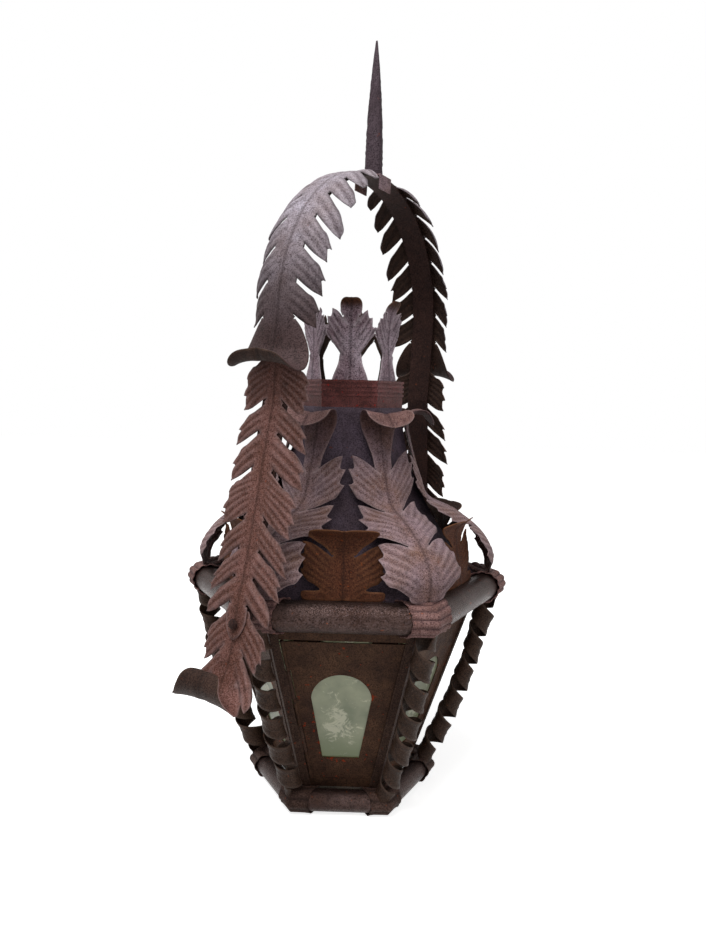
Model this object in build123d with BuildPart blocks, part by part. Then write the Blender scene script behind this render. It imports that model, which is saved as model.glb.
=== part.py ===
"""Hexagonal sheet-iron lantern with a leaf-clad bail, in millimetres, standing on +Z at its origin."""

import os
from math import atan, cos, hypot, pi, radians, sin, sqrt, tan

from build123d import *

os.makedirs("parts", exist_ok=True)

# Sheet, clearances and the plan
sheet = 1.2
seat_gap = 0.25
sides = 6
half_corner = radians(180 / sides)
front_face = -90.0
face_step = 360.0 / sides

# Glazed body, radii measured at the hexagon's corners
body_height = 228.0
body_bottom_radius = 86.5
body_top_radius = 164.0

# Rolled rails round the body's foot and head
foot_rail_radius = 12.5
foot_rail_corner = 102.5
head_rail_radius = 16.5
rail_lip_angle = 145.0
wrap_sheet = 1.0
wrap_reach = 20.0
wrap_facet = 30.0

# Arched window in each panel
window_sill = 44.0
window_spring = 128.0
window_crown = 161.0
window_sill_width = 42.0
window_spring_width = 67.0
glass_thickness = 3.0
glass_lap = 5.0

# Corner posts
post_arm = 9.0
post_lip = 2.0

# Door in the front face
door_sill = 14.0
door_head = 203.0
door_gap = 0.6
knuckle_radius = 2.2
pin_radius = 1.1
pin_clearance = 0.15
knuckle_count = 5
pin_head = 1.2

# Roof, collar and chimney crown
roof_height = 206.0
roof_sweep = 1.9
roof_bands = 5
collar_radius = 63.0
collar_height = 31.0
collar_ridge = 1.4
collar_ridge_height = 2.6
collar_ridge_count = 4

# Ribbon wound down each corner
ribbon_width = 24.0
ribbon_radius = 10.5
ribbon_turns = 6.0
ribbon_bow = 9.0
ribbon_steps = 6

# Bail over two opposite corners
bail_azimuth = 60.0
bail_radius = 162.0
bail_leg = 90.0
bail_width = 30.0
bail_thickness = 3.0
rivet_radius = 3.0
rivet_head_radius = 5.5
rivet_head_height = 3.6
washer_radius = 7.0
washer_height = 6.0
bail_foot_below = 24.0
bail_lean = 2.9

# Spike on the crown of the bail
spike_height = 149.0
spike_width = 20.0
spike_depth = 12.0
spike_tip = 2.4
saddle_length = 26.0
saddle_drop = 15.0

# Candle holder
pan_radius = 38.0
pan_depth = 9.0
candle_radius = 11.2
cup_height = 34.0

# Leaves
vein_width = 4.0
vein_height = 2.4
corner_leaf_fold = 14.0
face_leaf_fold = 8.0
bail_leaf_fold = -6.0

# Heights and slopes that follow from the sizes above
lip_rise = sin(radians(rail_lip_angle))
lip_reach = -cos(radians(rail_lip_angle))
foot_rail_z = foot_rail_radius + wrap_sheet + seat_gap
floor_z = foot_rail_z + foot_rail_radius * lip_rise + seat_gap
body_z = floor_z + sheet
head_z = body_z + body_height
flare = (body_top_radius - body_bottom_radius) / body_height
tilt = atan(flare * cos(half_corner))
face_length = body_height / cos(tilt)
head_rail_z = head_z + seat_gap + head_rail_radius * (1 - lip_rise) * 0.25


def corner_radius(z):
    """Radius of the body's corner at a height."""
    return body_bottom_radius + flare * (z - body_z)


head_lip_low = head_rail_z - head_rail_radius * lip_rise
head_lip_high = head_rail_z + head_rail_radius * lip_rise
head_lip_apothem = corner_radius(head_lip_low) * cos(half_corner) + seat_gap
head_rail_apothem = head_lip_apothem + head_rail_radius * lip_reach
head_rail_corner = head_rail_apothem / cos(half_corner)
foot_rail_apothem = foot_rail_corner * cos(half_corner)
eave_z = head_lip_high - sheet
eave_radius = (head_lip_apothem - seat_gap) / cos(half_corner)
collar_z = eave_z + roof_height
crown_z = collar_z + collar_height
head_wrap_radius = head_rail_radius + seat_gap + wrap_sheet
foot_wrap_radius = foot_rail_radius + seat_gap + wrap_sheet
corner_reach = head_rail_corner + head_wrap_radius / cos(half_corner)
head_crest = head_rail_z + head_wrap_radius + seat_gap
bail_spring_z = head_rail_z + 313.0
bail_knee_z = bail_spring_z - bail_leg
bail_foot_radius = corner_reach + washer_height + seat_gap
bail_crown_z = bail_spring_z + bail_radius + bail_thickness


def outward(azimuth):
    """Level unit vector pointing away from the axis."""
    return Vector(cos(radians(azimuth)), sin(radians(azimuth)), 0)


def sideways(azimuth):
    """Level unit vector along the tangent, counterclockwise."""
    return Vector(-sin(radians(azimuth)), cos(radians(azimuth)), 0)


def radial_plane(azimuth):
    """Upright plane through the axis: X runs outward and Y runs up."""
    return Plane(origin=(0, 0, 0), x_dir=outward(azimuth), z_dir=sideways(azimuth) * -1)


def face_plane(azimuth):
    """Plane of a body face from its foot: X runs along it, Y up the slope and Z outward."""
    out = outward(azimuth)
    up = Vector(0, 0, 1)
    foot = out * (body_bottom_radius * cos(half_corner)) + up * body_z
    normal = out * cos(tilt) - up * sin(tilt)
    return Plane(origin=foot, x_dir=sideways(azimuth), z_dir=normal)


def half_width(y):
    """Half the width of a body face at a distance up its slope."""
    return corner_radius(body_z + y * cos(tilt)) / 2


def mitred(points, distance):
    """A polyline's points moved sideways, to the left of its run for a positive distance."""
    moved = []
    for i, (x, y) in enumerate(points):
        before = points[max(i - 1, 0)]
        after = points[min(i + 1, len(points) - 1)]
        ways = [(x - before[0], y - before[1]), (after[0] - x, after[1] - y)]
        normals = [(-b / hypot(a, b), a / hypot(a, b)) for a, b in ways if hypot(a, b) > 0]
        nx = sum(n[0] for n in normals)
        ny = sum(n[1] for n in normals)
        share = distance * len(normals) / (nx * nx + ny * ny)
        moved.append((x + nx * share, y + ny * share))
    return moved


def save(part, label):
    """Names a piece and writes its file."""
    part.label = label
    export_step(part, f"parts/{label}.step")


faces = [front_face + face_step * i for i in range(sides)]
corners = [azimuth + face_step / 2 for azimuth in faces]


# Floor plate that the panels and the candle pan stand on
floor_apothem = foot_rail_apothem - foot_rail_radius * lip_reach
with BuildPart() as floor_plate:
    with BuildSketch(Plane.XY.offset(floor_z)):
        RegularPolygon(floor_apothem / cos(half_corner), sides)
    extrude(amount=sheet)
save(floor_plate.part, "floor_plate")


def rail(radius, apothem, z):
    """A sheet roll, open towards the body, mitred round the hexagon."""
    out = outward(front_face)
    centre = out * apothem + Vector(0, 0, z)
    section = Plane(origin=centre, x_dir=out, z_dir=sideways(front_face) * -1)
    with BuildPart() as side:
        with BuildSketch(section):
            with BuildLine():
                skin = CenterArc((0, 0), radius, -rail_lip_angle, 2 * rail_lip_angle)
                lining = CenterArc((0, 0), radius - sheet, -rail_lip_angle, 2 * rail_lip_angle)
                Line(skin @ 0, lining @ 0)
                Line(skin @ 1, lining @ 1)
            make_face()
        extrude(amount=apothem, both=True)
        split(bisect_by=Plane(origin=(0, 0, 0), z_dir=sideways(corners[0])), keep=Keep.BOTTOM)
        split(bisect_by=Plane(origin=(0, 0, 0), z_dir=sideways(corners[-1])), keep=Keep.TOP)
    with BuildPart() as ring:
        with PolarLocations(0, sides):
            add(side.part)
    return ring.part


foot_rail = rail(foot_rail_radius, foot_rail_apothem, foot_rail_z)
save(foot_rail, "foot_rail")


def corner_sleeve(section, apothem, z, azimuth):
    """A bar of some section bent round a rail's corner."""
    face = azimuth - face_step / 2
    corner_side = apothem * tan(half_corner)
    centre = outward(face) * apothem + sideways(face) * (corner_side - wrap_reach) + Vector(0, 0, z)
    mirror_plane = Plane(origin=(0, 0, 0), z_dir=sideways(azimuth))
    with BuildPart() as sleeve:
        with BuildSketch(Plane(origin=centre, x_dir=outward(face), z_dir=sideways(face))):
            add(section)
        extrude(amount=2 * wrap_reach + corner_side)
        split(bisect_by=mirror_plane, keep=Keep.BOTTOM)
        mirror(about=mirror_plane)
    return sleeve.part


# Sheet wraps over the rails' corners, folded in flat facets with a level one above and below
wrap_facets = 9
facet_corner = cos(radians(wrap_facet / 2))


def wraps(radius, rail_radius, apothem, z):
    """The wraps of one rail as separate solids."""
    turns = [radians(wrap_facet * (i - wrap_facets / 2)) for i in range(wrap_facets + 1)]
    skin = [(radius / facet_corner * cos(turn), radius / facet_corner * sin(turn)) for turn in turns]
    bore = (rail_radius + seat_gap) / facet_corner
    lining = [(bore * cos(turn), bore * sin(turn)) for turn in turns]
    with BuildSketch() as section:
        with BuildLine():
            Polyline(*skin, *reversed(lining), close=True)
        make_face()
    return [corner_sleeve(section.sketch, apothem, z, azimuth) for azimuth in corners]


foot_wraps = wraps(foot_wrap_radius, foot_rail_radius, foot_rail_apothem, foot_rail_z)
save(Compound(children=foot_wraps), "foot_corner_wraps")


# Glazed panels: sheet with an arched window, the pane lying behind it
def window_outline(margin):
    """The arched window, or the pane that covers it, in a face's own plane."""
    low = window_sill - margin
    foot = window_sill_width / 2 + margin
    spring = window_spring_width / 2 + margin
    with BuildSketch() as arch:
        with BuildLine():
            Line((-foot, low), (foot, low))
            Line((foot, low), (spring, window_spring))
            ThreePointArc((spring, window_spring), (0, window_crown + margin), (-spring, window_spring))
            Line((-spring, window_spring), (-foot, low))
        make_face()
    return arch.sketch


panel_edge = sheet
panel_back = sheet + seat_gap / 2


def trapezium(low, high, inset):
    """A stretch of a body face between two distances up its slope."""
    wide_low = half_width(low) - inset
    wide_high = half_width(high) - inset
    with BuildSketch() as strip:
        with BuildLine():
            Polyline((-wide_low, low), (wide_low, low), (wide_high, high), (-wide_high, high), close=True)
        make_face()
    return strip.sketch


def pane(azimuth):
    """A sheet of glass cut to the window with a lap all round."""
    with BuildPart() as glass:
        with BuildSketch(face_plane(azimuth).offset(-panel_back)):
            add(window_outline(glass_lap))
        extrude(amount=-glass_thickness)
    return glass.part


panel_names = ["front_right", "back_right", "back", "back_left", "front_left"]
for azimuth, name in zip(faces[1:], panel_names):
    with BuildPart() as panel:
        with BuildSketch(face_plane(azimuth)) as outline:
            add(trapezium(0, face_length, panel_edge))
        extrude(amount=-sheet)
        with BuildSketch(face_plane(azimuth)):
            add(window_outline(0))
        extrude(amount=-sheet, mode=Mode.SUBTRACT)
    save(panel.part, f"panel_{name}")
    save(pane(azimuth), f"glass_{name}")

# Front face: a fixed sill and head strip with the door between them
strips = []
for low, high in ((0, door_sill - door_gap), (door_head + pin_head + 2 * door_gap, face_length)):
    with BuildPart() as strip:
        with BuildSketch(face_plane(front_face)):
            add(trapezium(low, high, panel_edge))
        extrude(amount=-sheet)
    strips.append(strip.part)
save(Compound(children=strips), "front_face_strips")

# Door hinge: a wire through knuckles rolled from the left edge of the door and from its post
front = face_plane(front_face)
hinge_inset = post_arm + knuckle_radius + door_gap


def hinge_point(y):
    """A point of the hinge line, on the outer skin of the door."""
    return front.from_local_coords(Vector(hinge_inset - half_width(y), y, 0))


hinge_foot = hinge_point(door_sill)
hinge_top = hinge_point(door_head)
hinge_axis = (hinge_top - hinge_foot).normalized()
hinge_length = (hinge_top - hinge_foot).length
knuckle_length = hinge_length / knuckle_count


def hinge_rod(start, length, radius):
    """A round rod on the hinge line."""
    with BuildPart() as rod:
        with BuildSketch(Plane(origin=hinge_foot + hinge_axis * start, z_dir=hinge_axis)):
            Circle(radius)
        extrude(amount=length)
    return rod.part


def knuckles(first, radius, length):
    """Every second knuckle along the hinge."""
    starts = [knuckle_length * i + (knuckle_length - length) / 2 for i in range(first, knuckle_count, 2)]
    return [hinge_rod(start, length, radius) for start in starts]


pin_bore = hinge_rod(-knuckle_length, hinge_length + 2 * knuckle_length, pin_radius + pin_clearance)
door_knuckles = knuckles(0, knuckle_radius, knuckle_length - door_gap)
post_knuckles = knuckles(1, knuckle_radius, knuckle_length - door_gap)
room_for_door = knuckles(0, knuckle_radius + door_gap, knuckle_length + door_gap)
room_for_post = knuckles(1, knuckle_radius + door_gap, knuckle_length + door_gap)

with BuildPart() as hinge_pin:
    add(hinge_rod(0, hinge_length, pin_radius))
    add(hinge_rod(hinge_length, pin_head, knuckle_radius))
save(hinge_pin.part, "hinge_pin")

hinge_leaf_edge = knuckle_radius / 2
with BuildPart() as door:
    with BuildSketch(front):
        with BuildLine():
            Polyline(
                (hinge_inset + hinge_leaf_edge - half_width(door_sill), door_sill),
                (half_width(door_sill) - post_arm - door_gap, door_sill),
                (half_width(door_head) - post_arm - door_gap, door_head),
                (hinge_inset + hinge_leaf_edge - half_width(door_head), door_head),
                close=True,
            )
        make_face()
    extrude(amount=-sheet)
    with BuildSketch(front):
        add(window_outline(0))
    extrude(amount=-sheet, mode=Mode.SUBTRACT)
    add(room_for_post, mode=Mode.SUBTRACT)
    add(door_knuckles)
    add(pin_bore, mode=Mode.SUBTRACT)
save(door.part, "door_panel")
save(pane(front_face), "door_glass")


# Corner posts: folded angles over the panels' edges, with a beaded lip
post_top = head_lip_low - 2 * (sheet + post_lip)


def post(azimuth):
    """One angle strip, its section carried up the slanting corner."""
    half = cos(half_corner)
    face = azimuth - face_step / 2
    arm = sideways(face) * -1
    normal = outward(face)
    with BuildPart() as strip:
        for z in (body_z, post_top):
            tip = outward(azimuth) * corner_radius(z) + Vector(0, 0, z)
            ridge = tip + outward(azimuth) * (sheet / half)
            points = [
                tip,
                tip + arm * post_arm,
                tip + arm * post_arm + normal * (sheet + post_lip / 2),
                tip + arm * (post_arm - post_lip) + normal * (sheet + post_lip / 2),
                tip + arm * (post_arm - post_lip) + normal * sheet,
                ridge,
            ]
            with BuildSketch(Plane.XY.offset(z)):
                with BuildLine():
                    Polyline(*[(p.X, p.Y) for p in points], close=True)
                make_face()
        loft(ruled=True)
        mirror(about=Plane(origin=(0, 0, 0), z_dir=sideways(azimuth)))
    return strip.part


hinge_corner = front_face - face_step / 2
plain_corners = [azimuth for azimuth in corners if (azimuth - hinge_corner) % 360 > 1]
save(Compound(children=[post(azimuth) for azimuth in plain_corners]), "corner_posts")

with BuildPart() as hinge_post:
    add(post(hinge_corner))
    with BuildSketch(front):
        with BuildLine():
            Polyline(
                (post_arm - post_lip - half_width(door_sill), door_sill),
                (hinge_inset - hinge_leaf_edge - half_width(door_sill), door_sill),
                (hinge_inset - hinge_leaf_edge - half_width(door_head), door_head),
                (post_arm - post_lip - half_width(door_head), door_head),
                close=True,
            )
        make_face()
    extrude(amount=sheet)
    add(room_for_door, mode=Mode.SUBTRACT)
    add(post_knuckles)
    add(pin_bore, mode=Mode.SUBTRACT)
save(hinge_post.part, "hinge_post")

# Strip behind the free edge of the door, which it closes on
stop_lap = 5.0
stop_edge = 2.0
with BuildPart() as door_stop:
    with BuildSketch(front.offset(-panel_back)):
        with BuildLine():
            Polyline(
                (half_width(door_sill) - post_arm - stop_lap, door_sill),
                (half_width(door_sill) - post_lip - stop_edge, door_sill),
                (half_width(door_head) - post_lip - stop_edge, door_head),
                (half_width(door_head) - post_arm - stop_lap, door_head),
                close=True,
            )
        make_face()
    extrude(amount=-sheet)
    with BuildSketch(front.offset(-panel_back)):
        with BuildLine():
            Polyline(
                (half_width(door_sill) - post_arm + door_gap, door_sill),
                (half_width(door_sill) - post_lip - stop_edge, door_sill),
                (half_width(door_head) - post_lip - stop_edge, door_head),
                (half_width(door_head) - post_arm + door_gap, door_head),
                close=True,
            )
        make_face()
    extrude(amount=panel_back)
save(door_stop.part, "door_stop")

def hexagon_shell(levels):
    """A six-sided sheet shell through corner radii at heights, open at both ends."""
    skin = [(radius * cos(half_corner), z) for radius, z in levels]
    lining = [(apothem - sheet, z) for apothem, z in skin]
    with BuildPart() as side:
        with BuildSketch(radial_plane(front_face)):
            with BuildLine():
                Polyline(*skin, *reversed(lining), close=True)
            make_face()
        extrude(amount=max(radius for radius, z in levels), both=True)
        split(bisect_by=Plane(origin=(0, 0, 0), z_dir=sideways(corners[0])), keep=Keep.BOTTOM)
        split(bisect_by=Plane(origin=(0, 0, 0), z_dir=sideways(corners[-1])), keep=Keep.TOP)
    with BuildPart() as shell:
        with PolarLocations(0, sides):
            add(side.part)
    return shell.part


# Drip pan and candle cup on the floor plate
with BuildPart() as drip_pan:
    with BuildSketch(Plane.XY.offset(body_z)):
        RegularPolygon(pan_radius - pan_depth, sides)
    extrude(amount=sheet)
    add(hexagon_shell([(pan_radius - pan_depth, body_z), (pan_radius, body_z + pan_depth)]))
save(drip_pan.part, "drip_pan")

cup_z = body_z + sheet
cup_flange = 2 * candle_radius
with BuildPart() as candle_cup:
    with BuildSketch(Plane.XY.offset(cup_z)):
        RegularPolygon(cup_flange, sides)
    extrude(amount=sheet)
    with BuildSketch(Plane.XY.offset(cup_z + sheet)):
        Circle(candle_radius + sheet)
        Circle(candle_radius, mode=Mode.SUBTRACT)
    extrude(amount=cup_height - sheet)
save(candle_cup.part, "candle_cup")

# Head rail and its corner wraps
rivet_axis = Plane(origin=Vector(0, 0, head_rail_z), z_dir=outward(bail_azimuth))
with BuildPart() as head_rail:
    add(rail(head_rail_radius, head_rail_apothem, head_rail_z))
    with BuildSketch(rivet_axis):
        Circle(rivet_radius + pin_clearance)
    extrude(amount=2 * head_rail_corner, both=True, mode=Mode.SUBTRACT)
save(head_rail.part, "head_rail")

with BuildPart() as rivet_bore:
    with BuildSketch(rivet_axis):
        Circle(rivet_radius + pin_clearance)
    extrude(amount=2 * head_rail_corner, both=True)
head_wraps = wraps(head_wrap_radius, head_rail_radius, head_rail_apothem, head_rail_z)
pierced = []
for wrap in head_wraps:
    with BuildPart() as pierced_wrap:
        add(wrap)
        add(rivet_bore.part, mode=Mode.SUBTRACT)
    pierced.append(pierced_wrap.part)
save(Compound(children=pierced), "head_corner_wraps")


# Roof and collar
def hip(z):
    """Radius of the roof's corner at a height, on a sweep that steepens to the collar."""
    share = (z - eave_z) / roof_height
    return collar_radius + (eave_radius - collar_radius) * (1 - share) ** roof_sweep


roof_levels = [eave_z + roof_height * i / roof_bands for i in range(roof_bands + 1)]
save(hexagon_shell([(hip(z), z) for z in roof_levels]), "roof")

with BuildPart() as collar:
    add(hexagon_shell([(collar_radius, collar_z), (collar_radius, crown_z)]))
    for i in range(collar_ridge_count):
        ridge_z = crown_z - collar_ridge_height * (2 * i + 1)
        with BuildSketch(Plane.XY.offset(ridge_z)):
            RegularPolygon(collar_radius + collar_ridge, sides)
            RegularPolygon(collar_radius - sheet, sides, mode=Mode.SUBTRACT)
        extrude(amount=collar_ridge_height)
save(collar.part, "collar")


# Lobed sheet leaves on a bent spine, creased along a raised vein
def leaf(azimuth, spine, lobes, fold, side=1):
    """Facets along the spine, each with a pair of pointed lobes raked towards its end.

    The spine lies in the upright plane of the azimuth, as radius and height, on the leaf's back.
    Each lobe is its neck, its reach from the vein and how far forward its tip is raked.
    A side of 1 is for a spine that climbs and -1 for one that falls.
    """
    up = Vector(0, 0, 1)
    overlap = sheet / 2
    with BuildPart() as blade:
        with BuildSketch(radial_plane(azimuth)):
            with BuildLine():
                Polyline(*spine, *reversed(mitred(spine, -side * vein_height)), close=True)
            make_face()
        extrude(amount=vein_width / 2, both=True)
        for start, end, (neck, reach, rake) in zip(spine[:-1], spine[1:], lobes):
            run = outward(azimuth) * (end[0] - start[0]) + up * (end[1] - start[1])
            length = run.length
            run = run.normalized()
            normal = run.cross(sideways(azimuth)) * -side
            origin = outward(azimuth) * start[0] + up * start[1]
            for hand in (1, -1):
                wing = sideways(azimuth) * hand
                tilted = normal * cos(radians(fold)) + wing * sin(radians(fold))
                facet = Plane(origin=origin, x_dir=run, z_dir=tilted)
                way = 1 if facet.y_dir.dot(wing) > 0 else -1
                points = [
                    (-overlap, -overlap),
                    (-overlap, neck),
                    (length * rake, reach),
                    (length + overlap, neck),
                    (length + overlap, -overlap),
                ]
                with BuildSketch(facet):
                    with BuildLine():
                        Polyline(*[(x, y * way) for x, y in points], close=True)
                    make_face()
                extrude(amount=sheet)
    return blade.part


# Leaves on the roof's corners, from the rail up to a tip rolled out under the collar
leaf_stand = 6.0
corner_leaf_foot = head_crest + sheet
corner_leaf_spine = [
    (head_rail_corner - 2, corner_leaf_foot),
    (head_rail_corner, corner_leaf_foot + 22),
    (head_rail_corner - 14, corner_leaf_foot + 46),
    (head_rail_corner - 42, corner_leaf_foot + 68),
    (hip(eave_z + 0.48 * roof_height) + leaf_stand, eave_z + 0.48 * roof_height),
    (hip(eave_z + 0.62 * roof_height) + leaf_stand, eave_z + 0.62 * roof_height),
    (hip(eave_z + 0.80 * roof_height) + leaf_stand, eave_z + 0.80 * roof_height),
    (hip(eave_z + 0.92 * roof_height) + leaf_stand, eave_z + 0.92 * roof_height),
    (collar_radius + 3 * leaf_stand, eave_z + 0.96 * roof_height),
]
corner_leaf_lobes = [
    (22, 30, 0.9),
    (24, 46, 1.0),
    (22, 48, 1.1),
    (18, 46, 1.1),
    (15, 40, 1.1),
    (11, 34, 1.0),
    (13, 18, 0.9),
    (18, 24, 0.7),
]
for i, azimuth in enumerate(corners):
    save(leaf(azimuth, corner_leaf_spine, corner_leaf_lobes, corner_leaf_fold), f"corner_leaf_{i + 1}")

# Leaves on the middle of each roof side, standing on the rail
face_leaf_spine = [
    (head_rail_apothem - 3, head_crest - wrap_sheet),
    (head_rail_apothem - 6, head_crest + 20),
    (head_rail_apothem - 10, head_crest + 44),
    (head_rail_apothem - 10, head_crest + 62),
    (head_rail_apothem - 1, head_crest + 71),
]
face_leaf_lobes = [(24, 38, 0.8), (22, 46, 0.9), (16, 34, 0.9), (14, 19, 0.6)]
for i, azimuth in enumerate(faces):
    save(leaf(azimuth, face_leaf_spine, face_leaf_lobes, face_leaf_fold), f"face_leaf_{i + 1}")

# Crown leaves, standing inside the collar's rim
crown_apothem = (collar_radius * cos(half_corner)) - sheet - seat_gap - vein_height
crown_leaf_spine = [
    (crown_apothem, crown_z - 12),
    (crown_apothem, crown_z + 4),
    (crown_apothem - 2, crown_z + 28),
    (crown_apothem - 2, crown_z + 52),
    (crown_apothem + 1, crown_z + 78),
    (crown_apothem + 9, crown_z + 90),
]
crown_leaf_lobes = [(22, 22, 0.5), (17, 21, 0.2), (12, 17, 0.6), (13, 25, 1.05), (8, 12, 0.5)]
for i, azimuth in enumerate(faces):
    save(leaf(azimuth, crown_leaf_spine, crown_leaf_lobes, 0), f"crown_leaf_{i + 1}")


# Ribbon of sheet wound down the outside of each corner between the two wraps
ribbon_top = (head_rail_corner - 1, head_rail_z - head_rail_radius + 2)
ribbon_foot = (foot_rail_corner + 1, foot_rail_z + foot_rail_radius - 2)


def ribbon(azimuth):
    """A flat strip on a bowed helix, trimmed to the wraps that it runs out of."""
    out = outward(azimuth)
    up = Vector(0, 0, 1)
    across = sideways(azimuth)
    run = out * (ribbon_top[0] - ribbon_foot[0]) + up * (ribbon_top[1] - ribbon_foot[1])
    length = run.length
    along = run.normalized()
    off = along.cross(across) * -1
    count = round(ribbon_turns * ribbon_steps)
    start = out * ribbon_foot[0] + up * ribbon_foot[1]
    with BuildPart() as strip:
        for i in range(count + 1):
            share = i / count
            turn = 2 * pi * i / ribbon_steps
            bow = 4 * ribbon_bow * share * (1 - share)
            spoke = off * cos(turn) - across * sin(turn)
            tangent = across * -cos(turn) - off * sin(turn)
            centre = start + along * (length * share) + off * bow + spoke * ribbon_radius
            with BuildSketch(Plane(origin=centre, x_dir=along, z_dir=tangent)):
                Rectangle(ribbon_width, wrap_sheet)
        loft(ruled=True)
        for radius, apothem, z in (
            (head_wrap_radius, head_rail_apothem, head_rail_z),
            (foot_wrap_radius, foot_rail_apothem, foot_rail_z),
        ):
            with BuildSketch() as room:
                Circle(radius / facet_corner + seat_gap / 2)
            add(corner_sleeve(room.sketch, apothem, z, azimuth), mode=Mode.SUBTRACT)
    return strip.part


for i, azimuth in enumerate(corners):
    save(ribbon(azimuth), f"corner_ribbon_{i + 1}")


# Bail: a flat bar sprung over two opposite corners and pierced for its pivots
foot_slope = (bail_foot_radius - bail_radius) / (bail_knee_z - head_rail_z)
bail_end_z = head_rail_z - bail_foot_below
bail_end_radius = bail_foot_radius + foot_slope * bail_foot_below


def bail_skin(z):
    """Radius of the bar's outer side on a leg."""
    slanted = bail_foot_radius + foot_slope * (head_rail_z - z)
    return max(slanted * (z < bail_knee_z), bail_radius) + bail_thickness * sqrt(1 + foot_slope**2)


bail_pivot = Axis((0, 0, head_rail_z), outward(bail_azimuth))


def leant(part):
    """A piece of the bail, leaning over on its pivots as it stands."""
    return part.rotate(bail_pivot, bail_lean)


leg_back = [(bail_radius, bail_spring_z), (bail_radius, bail_knee_z), (bail_end_radius, bail_end_z)]
leg_front = mitred(leg_back, bail_thickness)
leg = leg_back + leg_front[::-1]
with BuildPart() as bail_bar:
    with BuildSketch(radial_plane(bail_azimuth)):
        with BuildLine():
            Polyline(*leg)
            Polyline(*[(-x, y) for x, y in leg])
            CenterArc((0, bail_spring_z), bail_radius, 0, 180)
            CenterArc((0, bail_spring_z), bail_radius + bail_thickness, 0, 180)
        make_face()
    extrude(amount=bail_width / 2, both=True)
    add(rivet_bore.part, mode=Mode.SUBTRACT)
save(leant(bail_bar.part), "bail_bar")

# Three lapped leaves on each arm of the bail
leaf_lap = vein_height + seat_gap
upper_steps = 7
upper_start = 84.0
upper_pitch = upper_start / upper_steps
arc_skin = (bail_radius + bail_thickness + seat_gap) / cos(radians(upper_pitch / 2))
upper_arc = [
    (
        arc_skin * cos(radians(upper_start - upper_pitch * i)),
        bail_spring_z + arc_skin * sin(radians(upper_start - upper_pitch * i)),
    )
    for i in range(upper_steps + 1)
]
upper_lip = bail_skin(bail_spring_z) + leaf_lap + seat_gap
upper_spine = upper_arc + [
    (upper_lip, bail_spring_z - 24),
    (upper_lip + 2, bail_spring_z - 38),
    (upper_lip + 12, bail_spring_z - 48),
]
upper_lobes = [
    (17, 32, 1.1),
    (20, 40, 1.1),
    (22, 44, 1.1),
    (22, 46, 1.1),
    (22, 46, 1.1),
    (22, 46, 1.1),
    (23, 45, 1.1),
    (24, 40, 1.0),
    (30, 40, 0.9),
    (38, 42, 0.5),
]
lower_heights = [bail_spring_z - 42, bail_spring_z - 66, bail_knee_z]
lower_heights += [bail_knee_z - (bail_knee_z - head_rail_z) * share for share in (0.16, 0.32, 0.47, 0.62, 0.77)]
lower_foot = head_rail_z - 15.0
lower_spine = [(bail_skin(z) + seat_gap, z) for z in lower_heights]
lower_spine += [
    (bail_skin(head_rail_z + 22) + leaf_lap + seat_gap, head_rail_z + 22),
    (bail_skin(lower_foot) + leaf_lap + seat_gap, lower_foot),
]
lower_lobes = [
    (12, 22, 0.9),
    (14, 34, 1.2),
    (15, 39, 1.2),
    (15, 39, 1.25),
    (16, 40, 1.25),
    (16, 40, 1.25),
    (16, 40, 1.25),
    (16, 38, 1.25),
    (15, 34, 1.2),
]
tip_spine = [
    (bail_skin(head_rail_z + 14) + seat_gap, head_rail_z + 14),
    (bail_skin(head_rail_z - 20) + seat_gap, head_rail_z - 20),
    (bail_skin(bail_end_z) + 8, head_rail_z - 46),
    (bail_skin(bail_end_z) + 20, head_rail_z - 64),
    (bail_skin(bail_end_z) + 36, head_rail_z - 68),
    (bail_skin(bail_end_z) + 47, head_rail_z - 58),
]
tip_lobes = [(14, 18, 0.5), (18, 30, 1.1), (20, 33, 1.1), (26, 34, 0.9), (30, 33, 0.6)]
for name, azimuth in (("far", bail_azimuth), ("near", bail_azimuth + 180)):
    upper_leaf = leaf(azimuth, upper_spine, upper_lobes, bail_leaf_fold, -1)
    save(leant(upper_leaf), f"bail_upper_leaf_{name}")
    for label, spine, lobes in (("lower", lower_spine, lower_lobes), ("tip", tip_spine, tip_lobes)):
        with BuildPart() as pierced_leaf:
            add(leaf(azimuth, spine, lobes, bail_leaf_fold, -1))
            add(rivet_bore.part, mode=Mode.SUBTRACT)
        save(leant(pierced_leaf.part), f"bail_{label}_leaf_{name}")

# Pivot rivets, upset inside the rail and domed outside the leaves
rivet_base = bail_skin(head_rail_z) + 2 * leaf_lap + sheet
rivet_inner = head_rail_corner + 8.0
rivet_burr = 2.5
washer_base = corner_reach + seat_gap / 2
washer_top = bail_foot_radius - washer_radius * foot_slope - seat_gap / 2
with BuildPart() as rivet:
    with BuildSketch(Plane.XZ):
        with BuildLine():
            Polyline(
                (0, rivet_inner),
                (rivet_radius * 1.5, rivet_inner),
                (rivet_radius * 1.5, rivet_inner + rivet_burr),
                (rivet_radius, rivet_inner + rivet_burr),
                (rivet_radius, washer_base),
                (washer_radius, washer_base),
                (washer_radius, washer_top),
                (rivet_radius, washer_top),
                (rivet_radius, rivet_base),
                (rivet_head_radius, rivet_base),
                (rivet_head_radius * 0.8, rivet_base + rivet_head_height * 0.7),
                (rivet_head_radius * 0.4, rivet_base + rivet_head_height),
                (0, rivet_base + rivet_head_height),
                close=True,
            )
        make_face()
    revolve(axis=Axis.Z)
rivets = [Plane(origin=(0, 0, head_rail_z), z_dir=outward(a)) for a in (bail_azimuth, bail_azimuth + 180)]
save(Compound(children=[plane.location * rivet.part for plane in rivets]), "bail_rivets")

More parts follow.
